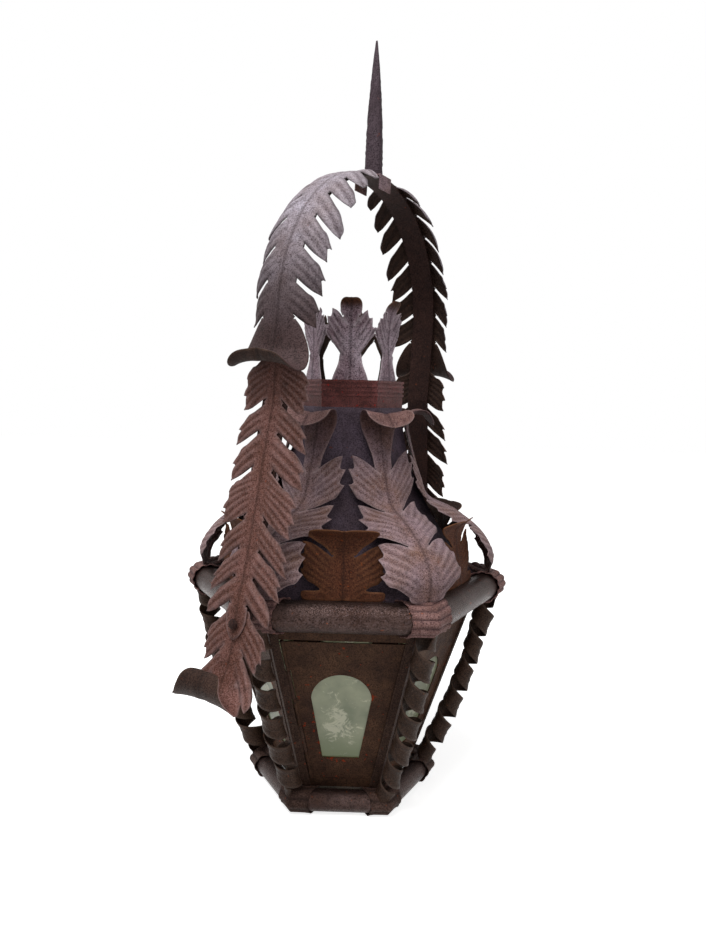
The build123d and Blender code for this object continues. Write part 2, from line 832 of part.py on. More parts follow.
# Saddle folded over the crown of the bail, and the spike that stands on it
saddle_half = bail_width / 2 + seat_gap
with BuildPart() as saddle:
    crown_plane = Plane(
        origin=(0, 0, bail_crown_z + seat_gap),
        x_dir=sideways(bail_azimuth),
        z_dir=outward(bail_azimuth),
    )
    with BuildSketch(crown_plane.offset(-saddle_length / 2)):
        with BuildLine():
            Polyline(
                (-saddle_half - sheet, -saddle_drop),
                (-saddle_half - sheet, sheet),
                (saddle_half + sheet, sheet),
                (saddle_half + sheet, -saddle_drop),
                (saddle_half, -saddle_drop),
                (saddle_half, 0),
                (-saddle_half, 0),
                (-saddle_half, -saddle_drop),
                close=True,
            )
        make_face()
    extrude(amount=saddle_length)
save(leant(saddle.part), "spike_saddle")

# The spike stands upright whatever the lean
spike_rise = (bail_crown_z + seat_gap + sheet - head_rail_z) * cos(radians(bail_lean))
spike_out = (bail_crown_z + seat_gap + sheet - head_rail_z) * sin(radians(bail_lean))
spike_seat = spike_width / 2 * sin(radians(bail_lean)) + seat_gap
spike_foot = sideways(bail_azimuth) * -spike_out + Vector(0, 0, head_rail_z + spike_rise + spike_seat)
with BuildPart() as spike:
    for direction, width, mode in (
        (outward(bail_azimuth), spike_width, Mode.ADD),
        (sideways(bail_azimuth), spike_depth, Mode.INTERSECT),
    ):
        across = direction.cross(Vector(0, 0, 1)) * -1
        with BuildSketch(Plane(origin=spike_foot, x_dir=across, z_dir=direction)):
            with BuildLine():
                Polyline(
                    (-width / 2, 0),
                    (width / 2, 0),
                    (spike_tip / 2, spike_height),
                    (-spike_tip / 2, spike_height),
                    close=True,
                )
            make_face()
        extrude(amount=spike_width, both=True, mode=mode)
save(spike.part, "spike")
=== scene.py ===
"""A hexagonal candle lantern of rusted sheet iron with leaf work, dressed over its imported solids."""

from math import cos, pi, radians, sin, tan

import bpy
import numpy as np
from mathutils import Matrix, Vector
from mathutils.geometry import delaunay_2d_cdt


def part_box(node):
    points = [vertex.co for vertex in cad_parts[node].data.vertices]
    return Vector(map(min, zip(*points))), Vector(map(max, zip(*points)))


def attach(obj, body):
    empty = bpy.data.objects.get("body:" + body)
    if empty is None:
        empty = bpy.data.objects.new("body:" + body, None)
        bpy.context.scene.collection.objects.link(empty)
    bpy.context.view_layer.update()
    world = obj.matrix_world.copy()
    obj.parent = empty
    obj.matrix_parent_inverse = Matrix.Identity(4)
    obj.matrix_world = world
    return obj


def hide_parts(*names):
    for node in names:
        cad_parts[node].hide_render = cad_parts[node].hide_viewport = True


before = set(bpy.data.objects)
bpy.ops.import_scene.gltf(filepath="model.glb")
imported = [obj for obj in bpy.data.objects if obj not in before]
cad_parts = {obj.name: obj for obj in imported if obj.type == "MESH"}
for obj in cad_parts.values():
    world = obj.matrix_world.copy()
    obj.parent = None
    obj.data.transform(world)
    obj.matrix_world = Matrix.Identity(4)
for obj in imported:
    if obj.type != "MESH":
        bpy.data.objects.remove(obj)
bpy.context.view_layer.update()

# Panels of the glazed body, with the door, its stop and the strips above and below it.
# Brown sheet iron, cut with an arched window on each side and bent at the edges. It was once painted
# red, and is now pitted and dull.


def shade(code):
    """An sRGB hex value as linear colour."""
    parts = [int(code[i : i + 2], 16) / 255 for i in (1, 3, 5)]
    return (*[c / 12.92 if c <= 0.04045 else ((c + 0.055) / 1.055) ** 2.4 for c in parts], 1.0)


def node(material, kind, links=None, **settings):
    """Adds a node, with its settings, and its sockets set or linked."""
    made = material.node_tree.nodes.new(kind)
    for key, value in settings.items():
        setattr(made, key, value)
    for key, value in (links or {}).items():
        if isinstance(value, bpy.types.NodeSocket):
            material.node_tree.links.new(value, made.inputs[key])
        else:
            made.inputs[key].default_value = value
    return made


def window_zone(material, place, outer, inner):
    """How near a point is to its side's window: 0 from the outer oval on, 1 from the inner one in."""
    window_middle, window_half_width, window_half_height = 0.116, 0.033, 0.052
    side_distance = 0.108
    axes = node(material, "ShaderNodeSeparateXYZ", {0: place})
    turn = node(
        material,
        "ShaderNodeMath",
        {0: axes.outputs["Y"], 1: axes.outputs["X"]},
        operation="ARCTAN2",
    )
    on_side = node(
        material,
        "ShaderNodeMath",
        {0: turn.outputs[0], 1: pi / 3, 2: 0.0},
        operation="WRAP",
    )
    from_middle = node(
        material,
        "ShaderNodeMath",
        {0: on_side.outputs[0], 1: pi / 6},
        operation="SUBTRACT",
    )
    slant = node(material, "ShaderNodeMath", {0: from_middle.outputs[0]}, operation="TANGENT")
    reach = node(
        material,
        "ShaderNodeMath",
        {0: slant.outputs[0], 1: side_distance / window_half_width},
        operation="MULTIPLY",
    )
    rise = node(
        material,
        "ShaderNodeMath",
        {0: axes.outputs["Z"], 1: 1 / window_half_height, 2: -window_middle / window_half_height},
        operation="MULTIPLY_ADD",
    )
    spot = node(material, "ShaderNodeCombineXYZ", {0: reach.outputs[0], 1: rise.outputs[0]})
    distance = node(material, "ShaderNodeVectorMath", {0: spot.outputs[0]}, operation="LENGTH")
    zone = node(
        material,
        "ShaderNodeMapRange",
        {"Value": distance.outputs["Value"], "From Min": outer, "From Max": inner},
    )
    return zone.outputs["Result"]


def rusted_iron(
    name,
    worn,
    brown,
    pit,
    pale,
    speck,
    speck_share,
    rough=0.62,
    metal=0.12,
    gather=None,
    tail=None,
):
    """Rusted sheet: clouds of worn metal and brown rust, dark pits and specks, with painted highlights
    and painted shade where the meshes mark them.
    """
    iron = bpy.data.materials.new(name)
    iron.use_nodes = True
    iron.node_tree.nodes.clear()
    place = node(iron, "ShaderNodeTexCoord").outputs["Object"]
    cloud_mm, streak_mm, grain_mm, speck_mm = 42.0, 9.0, 1.4, 5.5
    # Broad clouds, where the metal is worn and where it has rusted brown
    cloud = node(
        iron,
        "ShaderNodeTexNoise",
        {"Vector": place, "Scale": 1000 / cloud_mm, "Detail": 6, "Roughness": 0.62},
    )
    patch = node(
        iron,
        "ShaderNodeMapRange",
        {"Value": cloud.outputs["Fac"], "From Min": 0.36, "From Max": 0.64},
    )
    tint = node(
        iron,
        "ShaderNodeMix",
        {0: patch.outputs["Result"], 6: shade(brown), 7: shade(worn)},
        data_type="RGBA",
    )
    # Dark stains about as wide as a finger
    streak = node(
        iron,
        "ShaderNodeTexNoise",
        {"Vector": place, "Scale": 1000 / streak_mm, "Detail": 4, "Roughness": 0.7},
    )
    stain = node(
        iron,
        "ShaderNodeMapRange",
        {"Value": streak.outputs["Fac"], "From Min": 0.48, "From Max": 0.7, "To Max": 0.6},
    )
    stained = node(
        iron,
        "ShaderNodeMix",
        {0: stain.outputs["Result"], 6: tint.outputs[2], 7: shade(pit)},
        data_type="RGBA",
    )
    # The grain of real rust is under a millimetre; it is drawn coarser so that it shows
    grain = node(
        iron,
        "ShaderNodeTexNoise",
        {"Vector": place, "Scale": 1000 / grain_mm, "Detail": 4, "Roughness": 0.68},
    )
    pitted = node(
        iron,
        "ShaderNodeMapRange",
        {"Value": grain.outputs["Fac"], "From Min": 0.5, "From Max": 0.62, "To Max": 0.9},
    )
    grained = node(
        iron,
        "ShaderNodeMix",
        {0: pitted.outputs["Result"], 6: stained.outputs[2], 7: shade(pit)},
        data_type="RGBA",
    )
    crest = node(
        iron,
        "ShaderNodeMapRange",
        {"Value": grain.outputs["Fac"], "From Min": 0.46, "From Max": 0.32, "To Max": 0.36},
    )
    crested = node(
        iron,
        "ShaderNodeMix",
        {0: crest.outputs["Result"], 6: grained.outputs[2], 7: shade(pale)},
        data_type="RGBA",
    )
    # Specks of old paint, more of them round the windows where they gather
    fleck = node(
        iron,
        "ShaderNodeTexNoise",
        {"Vector": place, "Scale": 1000 / speck_mm, "Detail": 3, "Roughness": 0.5},
    )
    lasting = fleck.outputs["Fac"]
    if gather:
        oval_outer, oval_inner = 1.75, 1.0
        near_window = node(
            iron,
            "ShaderNodeMath",
            {0: window_zone(iron, place, oval_outer, oval_inner), 1: gather, 2: lasting},
            operation="MULTIPLY_ADD",
        )
        lasting = near_window.outputs[0]
    lowered = 0.35 * speck_share
    paint = node(
        iron,
        "ShaderNodeMapRange",
        {"Value": lasting, "From Min": 0.70 - lowered, "From Max": 0.75 - lowered, "To Max": 0.72},
    )
    painted = node(
        iron,
        "ShaderNodeMix",
        {0: paint.outputs["Result"], 6: crested.outputs[2], 7: shade(speck)},
        data_type="RGBA",
    )
    # Painted highlights on edges and ridge crests, painted shade in grooves and a darker end, as the
    # meshes mark them
    edge = node(iron, "ShaderNodeAttribute", attribute_name="rim_highlight")
    highlighted = node(
        iron,
        "ShaderNodeMix",
        {0: edge.outputs["Fac"], 6: painted.outputs[2], 7: shade(pale)},
        data_type="RGBA",
    )
    groove = node(iron, "ShaderNodeAttribute", attribute_name="crease_shade")
    creased = node(
        iron,
        "ShaderNodeMix",
        {0: groove.outputs["Fac"], 6: highlighted.outputs[2], 7: shade(pit)},
        data_type="RGBA",
    )
    # The darker end is painted shade on the corner leaves and the top bail leaf, and a brown tip on
    # the crown leaves
    if tail:
        far_end = node(iron, "ShaderNodeAttribute", attribute_name="tail")
        creased = node(
            iron,
            "ShaderNodeMix",
            {0: far_end.outputs["Fac"], 6: creased.outputs[2], 7: shade(tail)},
            data_type="RGBA",
            blend_type="MULTIPLY",
        )
    dull = node(
        iron,
        "ShaderNodeMapRange",
        {
            "Value": grain.outputs["Fac"],
            "From Min": 0.3,
            "From Max": 0.7,
            "To Min": rough - 0.1,
            "To Max": rough + 0.15,
        },
    )
    bump = node(
        iron,
        "ShaderNodeBump",
        {"Height": grain.outputs["Fac"], "Strength": 0.8, "Distance": 0.0009},
    )
    surface = node(
        iron,
        "ShaderNodeBsdfPrincipled",
        {
            "Base Color": creased.outputs[2],
            "Metallic": metal,
            "Specular IOR Level": 0.12,
            "Roughness": dull.outputs["Result"],
            "Normal": bump.outputs["Normal"],
        },
    )
    node(iron, "ShaderNodeOutputMaterial", {"Surface": surface.outputs["BSDF"]})
    return iron


def finish(material, *names):
    """Gives CAD pieces their finish."""
    for name in names:
        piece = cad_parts[name]
        piece.data.materials.clear()
        piece.data.materials.append(material)


# Sheet rusted through its paint: dull, dark and mottled brown, with orange-red specks by the windows
panel_iron = rusted_iron(
    "brown sheet iron",
    worn="#593f2f",
    brown="#35221a",
    pit="#1e120c",
    pale="#593f2c",
    speck="#95300e",
    speck_share=0.0,
    gather=0.085,
)
plain_faces = ["front_right", "back_right", "back", "back_left", "front_left"]
finish(panel_iron, "door_panel", "front_face_strips", "door_stop")
finish(panel_iron, *[f"panel_{face}" for face in plain_faces])

# Corner posts of the body, and the post and pin of the door's hinge.
# Strips of the same sheet folded lengthwise over the panels' edges, and a wire pin in rolled
# knuckles.

# Folds that hands and cloths reach: brown as the panels, with the high spots rubbed paler
edge_iron = rusted_iron(
    "folded edge iron",
    worn="#513d33",
    brown="#3b271f",
    pit="#1e130f",
    pale="#766054",
    speck="#863a20",
    speck_share=0.05,
)
finish(edge_iron, "corner_posts", "hinge_post", "hinge_pin")

# Floor plate, drip pan and candle cup inside the body.
# Dull tinned sheet, soldered, seen only through the windows and the open door.

# Old tin: a warm grey with no shine left, flecked with rust
tinned = rusted_iron(
    "dull tinned sheet",
    worn="#6c655d",
    brown="#524d45",
    pit="#2d2824",
    pale="#898379",
    speck="#67543f",
    speck_share=0.05,
)
finish(tinned, "floor_plate", "drip_pan", "candle_cup")

# Window panes, one behind each arched opening.
# Old sheet glass laid against the back of the sheet, with a film of dust that is thickest and
# chalky in the middle of each pane.

# Dusty glass: pale sage green, greener where damp has stood at its foot, and light without a view
glass = bpy.data.materials.new("dusty sage glass")
glass.use_nodes = True
glass.node_tree.nodes.clear()
glass_place = node(glass, "ShaderNodeTexCoord").outputs["Object"]
dust_mm, stain_mm = 30.0, 16.0
stain_outer, stain_inner, stain_gain = 0.95, 0.1, 0.16
damp_top, damp_full = 0.105, 0.07
dust = node(
    glass,
    "ShaderNodeTexNoise",
    {"Vector": glass_place, "Scale": 1000 / dust_mm, "Detail": 5},
)
film = node(
    glass,
    "ShaderNodeMapRange",
    {"Value": dust.outputs["Fac"], "From Min": 0.35, "From Max": 0.65},
)
filmed = node(
    glass,
    "ShaderNodeMix",
    {0: film.outputs["Result"], 6: shade("#8f9677"), 7: shade("#bcc0a0")},
    data_type="RGBA",
)
splash = node(
    glass,
    "ShaderNodeTexNoise",
    {
        "Vector": glass_place,
        "Scale": 1000 / stain_mm,
        "Detail": 8,
        "Roughness": 0.75,
        "Distortion": 1.2,
    },
)
splashed = node(
    glass,
    "ShaderNodeMath",
    {
        0: window_zone(glass, glass_place, stain_outer, stain_inner),
        1: stain_gain,
        2: splash.outputs["Fac"],
    },
    operation="MULTIPLY_ADD",
)
chalk = node(
    glass,
    "ShaderNodeMapRange",
    {"Value": splashed.outputs[0], "From Min": 0.6, "From Max": 0.67, "To Max": 0.88},
)
glass_axes = node(glass, "ShaderNodeSeparateXYZ", {0: glass_place})
damp = node(
    glass,
    "ShaderNodeMapRange",
    {"Value": glass_axes.outputs["Z"], "From Min": damp_top, "From Max": damp_full},
)
greened = node(
    glass,
    "ShaderNodeMix",
    {0: damp.outputs["Result"], 6: filmed.outputs[2], 7: shade("#8c976d")},
    data_type="RGBA",
)
chalked = node(
    glass,
    "ShaderNodeMix",
    {0: chalk.outputs["Result"], 6: greened.outputs[2], 7: shade("#ebead0")},
    data_type="RGBA",
)
pane = node(
    glass,
    "ShaderNodeBsdfPrincipled",
    {
        "Base Color": chalked.outputs[2],
        "Roughness": 0.3,
        "IOR": 1.5,
        "Transmission Weight": 0.35,
    },
)
node(glass, "ShaderNodeOutputMaterial", {"Surface": pane.outputs["BSDF"]})
finish(glass, "door_glass", *[f"glass_{face}" for face in plain_faces])

# Rolled rails round the foot and head of the body.
# Sheet iron rolled to a tube and mitred at the corners, gripping the panels' edges.

# Iron rubbed by handling: dark brown metal with a soft grey sheen along its top
rail_iron = rusted_iron(
    "rubbed rail iron",
    worn="#4c3c38",
    brown="#3a2923",
    pit="#1b1210",
    pale="#74666a",
    speck="#864422",
    speck_share=0.03,
    rough=0.3,
    metal=0.7,
)
finish(rail_iron, "foot_rail", "head_rail")

# Wraps over the rails' corners.
# A strip of thin sheet bent round each corner, ridged along the rail, its ends sprung a little open.

CORNERS = [-60 + 60 * i for i in range(6)]
HALF_SIDE = 30  # degrees from a corner to the middle of the side beside it


def outward(azimuth):
    """Level unit vector pointing away from the lantern's axis."""
    return Vector((cos(radians(azimuth)), sin(radians(azimuth)), 0))


def sideways(azimuth):
    """Level unit vector along the tangent, counterclockwise."""
    return Vector((-sin(radians(azimuth)), cos(radians(azimuth)), 0))


def sheet_piece(name, points, faces, body, thickness=0.0, marks=None):
    """A new piece from points in mm, with the marks that its finish reads, riding on a body."""
    mesh = bpy.data.meshes.new(name)
    mesh.from_pydata([Vector(p) / 1000 for p in points], [], faces)
    mesh.update()
    for face in mesh.polygons:
        face.use_smooth = True
    for key, values in (marks or {}).items():
        layer = mesh.attributes.new(key, "FLOAT", "POINT")
        layer.data.foreach_set("value", [float(v) for v in values])
    piece = bpy.data.objects.new(name, mesh)
    bpy.context.collection.objects.link(piece)
    if thickness:
        solid = piece.modifiers.new("sheet", "SOLIDIFY")
        solid.thickness = thickness / 1000
        solid.offset = 0
    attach(piece, body)
    return piece


def corner_wraps(name, node_name, apothem, height, radius, reach, ridges, iron):
    """Six ridged sleeves, each a grid round the tube and along both sides of its corner."""
    points = []
    faces = []
    pleat_shade_marks = []
    round_steps, floor_level, wrap_turn = 144, 0.6, 256
    pleat_inset, pleat_rise, pleat_shade = 1.2, 1.6, 0.85
    end_spring, spring_power = 1.6, 6
    along = [-1.0, -0.9, -0.7, -0.45, -0.2, 0.0, 0.2, 0.45, 0.7, 0.9, 1.0]
    for n, corner in enumerate(CORNERS):
        start = len(points)
        unlike = 1.0 + 0.5 * sin(2.1 * n)
        for share in along:
            face = corner - HALF_SIDE if share < 0 else corner + HALF_SIDE
            spring = end_spring * abs(share) ** spring_power * unlike
            for k in range(round_steps + 1):
                turn = radians(-wrap_turn / 2 + wrap_turn * k / round_steps)
                pleat = abs(cos(ridges * turn))
                tube = radius - pleat_inset + pleat_rise * pleat + spring
                # The grooves between the pleats are darkened with painted shade
                pleat_shade_marks.append(pleat_shade * (1 - pleat) ** 2)
                out = apothem + tube * cos(turn)
                side = out * tan(radians(HALF_SIDE)) - abs(share) * reach
                flank = sideways(face) * (side if share < 0 else -side)
                level = max(height + tube * sin(turn), floor_level)
                points.append(outward(face) * out + flank + Vector((0, 0, level)))
        row = round_steps + 1
        for i in range(len(along) - 1):
            for k in range(round_steps):
                a = start + i * row + k
                faces.append((a, a + 1, a + row + 1, a + row))
    wraps = sheet_piece(name, points, faces, "lantern", thickness=1.0, marks={"crease_shade": pleat_shade_marks})
    wraps.data.materials.append(iron)
    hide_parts(node_name)


# Thin sheet with a pinkish bloom of rust; its ridges catch the light, and the grooves between them are
# darkened with painted shade
wrap_iron = rusted_iron(
    "pinkish wrap iron",
    worn="#926f6b",
    brown="#71514a",
    pit="#38272a",
    pale="#ae9691",
    speck="#9b4f28",
    speck_share=0.02,
)
# The same sheet at the foot, where it stood in the wet: browner and much darker
dark_wrap_iron = rusted_iron(
    "brown wrap iron",
    worn="#543f38",
    brown="#3e2b24",
    pit="#201512",
    pale="#76635a",
    speck="#9b4f28",
    speck_share=0.02,
)
corner_wraps(
    "foot_wraps_ridged",
    "foot_corner_wraps",
    apothem=88.77,
    height=13.75,
    radius=13.2,
    reach=23.0,
    ridges=3,
    iron=dark_wrap_iron,
)
corner_wraps(
    "head_wraps_ridged",
    "head_corner_wraps",
    apothem=153.6,
    height=252.38,
    radius=17.5,
    reach=28.0,
    ridges=6,
    iron=wrap_iron,
)

# Roof: a hood of six concave sides swept up to the collar.
# Thin sheet, seamed at the corners under the leaves and resting on the head rail.

# Sheet darkened by smoke and weather: slate grey with a violet cast, and no shine
roof_iron = rusted_iron(
    "slate roof iron",
    worn="#534652",
    brown="#45383f",
    pit="#292026",
    pale="#675b60",
    speck="#673527",
    speck_share=0.03,
)
eave_height, eave_radius, collar_radius = 260.64, 161.47, 63.0
roof_rise, roof_sweep, roof_sheet = 206.0, 1.9, 1.2
roof_points = []
roof_faces = []
roof_rows, side_steps = 28, 8
for i in range(roof_rows + 1):
    share = i / roof_rows
    spread = (eave_radius - collar_radius) * (1 - share) ** roof_sweep
    radius = collar_radius + spread - roof_sheet / 2
    for corner in CORNERS:
        here = outward(corner) * radius
        there = outward(corner + 60) * radius
        for k in range(side_steps):
            spot = here.lerp(there, k / side_steps)
            roof_points.append((spot.x, spot.y, eave_height + roof_rise * share))
ring = 6 * side_steps
for i in range(roof_rows):
    for k in range(ring):
        a = i * ring + k
        b = i * ring + (k + 1) % ring
        roof_faces.append((a, b, b + ring, a + ring))
roof = sheet_piece("roof_hood", roof_points, roof_faces, "lantern", thickness=roof_sheet)
for edge in roof.data.edges:
    a, b = edge.vertices
    edge.use_edge_sharp = a % side_steps == 0 and b % side_steps == 0 and abs(a - b) == ring
roof.data.materials.append(roof_iron)
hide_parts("roof")

# Collar: the ridged ring that closes the top of the roof.
# Sheet iron with beads rolled into its upper half, soldered to the hood.

# Old red paint worn thin over rust: deep red with a low gloss, more of it left than elsewhere
collar_iron = rusted_iron(
    "red-painted collar iron",
    worn="#6e4241",
    brown="#532e2b",
    pit="#281718",
    pale="#83382d",
    speck="#8f1811",
    speck_share=0.12,
    rough=0.42,
    metal=0.35,
)
finish(collar_iron, "collar")

# Corner leaves, climbing the six corners of the roof.
# Cut from thin sheet with deep slits between the lobes, hammered into ridges, creased along a vein
# and soldered to the hood, with the tip rolled outward under the collar.


def curve_through(points, spacing):
    """Points along a smooth curve through the given ones."""
    given = np.array(points, float)
    padded = np.vstack([2 * given[0] - given[1], given, 2 * given[-1] - given[-2]])
    run = []
    for i in range(1, len(padded) - 2):
        p0, p1, p2, p3 = padded[i - 1 : i + 3]
        count = max(2, int(np.linalg.norm(p2 - p1) / spacing))
        for k in range(count):
            t = k / count
            run.append(
                0.5
                * (
                    2 * p1
                    + (p2 - p0) * t
                    + (2 * p0 - 5 * p1 + 4 * p2 - p3) * t * t
                    + (3 * p1 - p0 - 3 * p2 + p3) * t**3
                )
            )
    return np.array(run + [given[-1]])


# The edge of a lobe from its rear slit to its front one, as shares of its length and half its width.
# Each run ends in a sharp tooth but the last, which goes back to the slit.
LOBES = {
    1: [
        [(0.14, -0.96), (0.44, -1.02), (0.80, -0.62), (1.0, 0.18)],
        [(0.85, 0.60), (0.52, 0.88), (0.18, 0.96)],
    ],
    2: [
        [(0.14, -0.97), (0.40, -1.04), (0.78, -0.62)],
        [(0.72, -0.30), (1.0, 0.38)],
        [(0.80, 0.72), (0.50, 0.92), (0.18, 0.97)],
    ],
    3: [
        [(0.12, -0.98), (0.34, -1.05), (0.66, -0.82)],
        [(0.60, -0.54), (0.88, -0.14)],
        [(0.80, 0.14), (1.0, 0.58)],
        [(0.84, 0.80), (0.55, 0.95), (0.18, 0.97)],
    ],
}
LOBE_SWEEP = 5.0
UNDARKENED = (2, 3)


def half_outline(foot, eyes, lobes, end, fill, draw):
    """One side of a leaf in its flat: distance along the vein and from it, with each lobe's frame."""
    spacing, eye_radius = 2.0, 1.6
    runs = [curve_through(foot + [eyes[0]], spacing)]
    frames = []
    for (start, stop), (reach, rake, teeth) in zip(zip(eyes[:-1], eyes[1:]), lobes):
        lean = radians(rake * draw.uniform(0.94, 1.06))
        way = np.array([cos(lean), sin(lean)])
        ahead = np.array([sin(lean), -cos(lean)])
        start, stop = np.array(start, float), np.array(stop, float)
        middle = (start + stop) / 2
        length = (reach * draw.uniform(0.93, 1.05) - middle[1]) / way[1]
        half = fill / 2 * float(np.dot(stop - start, ahead))

        def at(spot):
            swept = np.array([LOBE_SWEEP * spot[0] ** 2, 0])
            return middle + way * spot[0] * length + ahead * spot[1] * half + swept

        edge = start + (eye_radius, 0)
        for run in LOBES[teeth][:-1]:
            bits = [edge] + [at(spot) for spot in run]
            runs.append(curve_through(bits, spacing))
            edge = bits[-1]
        front = [edge] + [at(spot) for spot in LOBES[teeth][-1]] + [stop - (eye_radius, 0)]
        runs.append(curve_through(front, spacing))
        eye = [stop + eye_radius * np.array(spot) for spot in ((-0.7, -0.7), (0, -1), (0.7, -0.7))]
        runs.append(np.array(eye))
        frames.append((middle, way, ahead, length, half, teeth, draw.uniform(-1, 1)))
    runs.append(curve_through([eyes[-1]] + end, spacing))
    return np.vstack(runs), frames


def inside(points, loop):
    """Which points lie inside a closed outline."""
    x, y = points[:, 0], points[:, 1]
    found = np.zeros(len(points), bool)
    for (ax, ay), (bx, by) in zip(loop, np.roll(loop, -1, axis=0)):
        crosses = (ay > y) != (by > y)
        with np.errstate(divide="ignore", invalid="ignore"):
            found ^= crosses & (x < (bx - ax) * (y - ay) / (by - ay) + ax)
    return found


def swell(distance, width):
    """1 at no distance, falling smoothly to nothing past the width."""
    return np.exp(-((distance / width) ** 2))


def leaf(
    name,
    node_name,
    azimuth,
    spine,
    cut,
    fold,
    roll,
    side,
    seed,
    iron,
    body="lantern",
    leant=None,
    dark=UNDARKENED,
    bell=0.0,
    under=None,
):
    """A leaf: a flat outline filled with a fine net, embossed, rolled over and bent on its spine."""
    foot, eyes, lobes, end, fill, emboss = cut
    draw = np.random.default_rng(seed)
    right, right_frames = half_outline(foot, eyes, lobes, end, fill, draw)
    left, left_frames = half_outline(foot, eyes, lobes, end, fill, draw)
    loop = np.vstack([right, (left * (1, -1))[::-1]])
    least_step, net_pitch, row_share, net_margin = 0.7, 2.3, 0.87, 1.0
    inside_only, merge_distance = 1, 1e-4
    keep = [0]
    for i in range(1, len(loop)):
        if np.linalg.norm(loop[i] - loop[keep[-1]]) > least_step:
            keep.append(i)
    loop = loop[keep]
    low, high = loop.min(axis=0), loop.max(axis=0)
    net = []
    for i, x in enumerate(np.arange(low[0], high[0], net_pitch * row_share)):
        for y in np.arange(low[1] + (i % 2) * net_pitch / 2, high[1], net_pitch):
            net.append((x, y))
    net = np.array(net)
    net = net[inside(net, loop)]
    gap = np.min(np.linalg.norm(net[:, None, :] - loop[None, :, :], axis=2), axis=1)
    net = net[gap > net_margin]
    flat = [Vector(p) for p in np.vstack([loop, net])]
    filled = delaunay_2d_cdt(
        flat, [], [list(range(len(loop)))], inside_only, merge_distance
    )
    flat = np.array([(p.x, p.y) for p in filled[0]])
    near = np.min(np.linalg.norm(flat[:, None, :] - loop[None, :, :], axis=2), axis=1)

    # Hammer work: a vein with a cut along it, and on each lobe a dome, ridges and a lifted tip
    vein_width, vein_rise, vein_cut_width, vein_cut = 3.4, 1.3, 1.1, 1.1
    vein_shade_width, vein_shade_share, flank_place, flank_width, flank_shade = 1.3, 0.75, 4.6, 1.4, 0.3
    lobe_limit, dome, lobe_vein, lobe_lift = 1.25, 1.8, 0.6, 0.4
    least_root, root_from, root_over = 4.0, 0.3, 0.9
    tip_lift, tip_drop, tip_power = 3.4, 0.6, 2.5
    broad_lobe, fan_share, crest_highlight_from, far_off = 14.0, 0.4, 0.75, 9.0
    groove_shade, emboss_shade, groove_power = 0.28, 0.22, 1.5
    least_height, stand_off = -0.1, 0.7
    along, across = flat[:, 0], flat[:, 1]
    wide = np.abs(across)
    crest_highlights = np.zeros(len(flat))
    height = vein_rise * swell(wide, vein_width) - vein_cut * swell(wide, vein_cut_width)
    # Painted shade along the vein's cut and in lines beside it
    vein_shade = vein_shade_share * swell(wide, vein_shade_width)
    crease_shade = vein_shade + flank_shade * swell(wide - flank_place, flank_width)
    for hand, frames in ((1, right_frames), (-1, left_frames)):
        mine = across * hand > 0
        nearest = np.full(len(flat), far_off)
        for middle, way, ahead, length, half, teeth, whim in frames:
            share = np.clip((wide - middle[1]) / (way[1] * length), 0, 1)
            spot = np.stack([along - LOBE_SWEEP * share**2, wide], axis=1)
            p = (spot - middle) @ way / length
            q = (spot - middle) @ ahead / half
            here = mine & (np.abs(q) < nearest) & (np.abs(q) < lobe_limit)
            rise = np.clip((wide / max(middle[1], least_root) - root_from) / root_over, 0, 1)
            pipes = teeth + 1
            gathered = fan_share if half > broad_lobe else 0.0
            fan = q / (1 - gathered + gathered * np.clip(p, 0, 1))
            pipe = (-1) ** (pipes + 1) * np.cos(pipes * pi * fan)
            ridge = np.sqrt(0.5 + 0.5 * pipe)
            form = rise * (dome * (1 - np.clip(q * q, 0, 1)) + emboss * (ridge - 0.5))
            form += rise * (tip_lift * whim - tip_drop) * np.clip(p, 0, 1) ** tip_power
            raised = swell(wide, vein_width) * lobe_vein + form + lobe_lift
            height = np.where(here, raised, height)
            # Painted shade in the grooves between a lobe's ridges
            groove_shading = rise * (groove_shade + emboss_shade * emboss) * (1 - ridge) ** groove_power
            # Painted highlights on the ridge crests
            crest_highlights = np.where(here, rise * np.clip(ridge - crest_highlight_from, 0, 1), crest_highlights)
            crease_shade = np.where(here, np.maximum(vein_shade, groove_shading), crease_shade)
            nearest = np.where(here, np.abs(q), nearest)
    height = np.maximum(height, least_height) + stand_off

    # Bending: each point is carried to its place on the spine, and the sides roll over from it
    spine_spacing = 1.5
    bend = curve_through(spine, spine_spacing)
    steps = np.linalg.norm(np.diff(bend, axis=0), axis=1)
    run = np.concatenate([[0], np.cumsum(steps)])
    tangent = np.gradient(bend, run, axis=0)
    tangent /= np.linalg.norm(tangent, axis=1)[:, None]
    clipped = np.clip(along, 0, run[-1])
    over = along - clipped
    centre = np.stack([np.interp(clipped, run, bend[:, k]) for k in (0, 1)], axis=1)
    ahead = np.stack([np.interp(clipped, run, tangent[:, k]) for k in (0, 1)], axis=1)
    centre += ahead * over[:, None]
    normal = side * np.stack([ahead[:, 1], -ahead[:, 0]], axis=1)
    level_half, most_turn = 8.0, 1.25
    mouth = np.clip((along - eyes[-1][0]) / (run[-1] - eyes[-1][0]), 0, 1)
    roll = roll * (1 + bell * mouth)
    first = radians(fold)
    angle = first + np.clip((wide - level_half) / roll, 0, most_turn)
    rolled = wide > level_half
    side_run = np.where(rolled, level_half + roll * (np.sin(angle) - sin(first)), wide)
    fall = np.where(rolled, roll * (cos(first) - np.cos(angle)), 0.0)
    fall += np.minimum(wide, level_half) * sin(first)
    planar = centre + normal * (height * np.cos(angle) - fall)[:, None]
    reach = np.sign(across) * (side_run + height * np.sin(angle))
    out, flank = outward(azimuth), sideways(azimuth)
    points = [
        out * planar[i, 0] + flank * reach[i] + Vector((0, 0, planar[i, 1]))
        for i in range(len(flat))
    ]
    if leant is not None:
        points = [leant @ p for p in points]
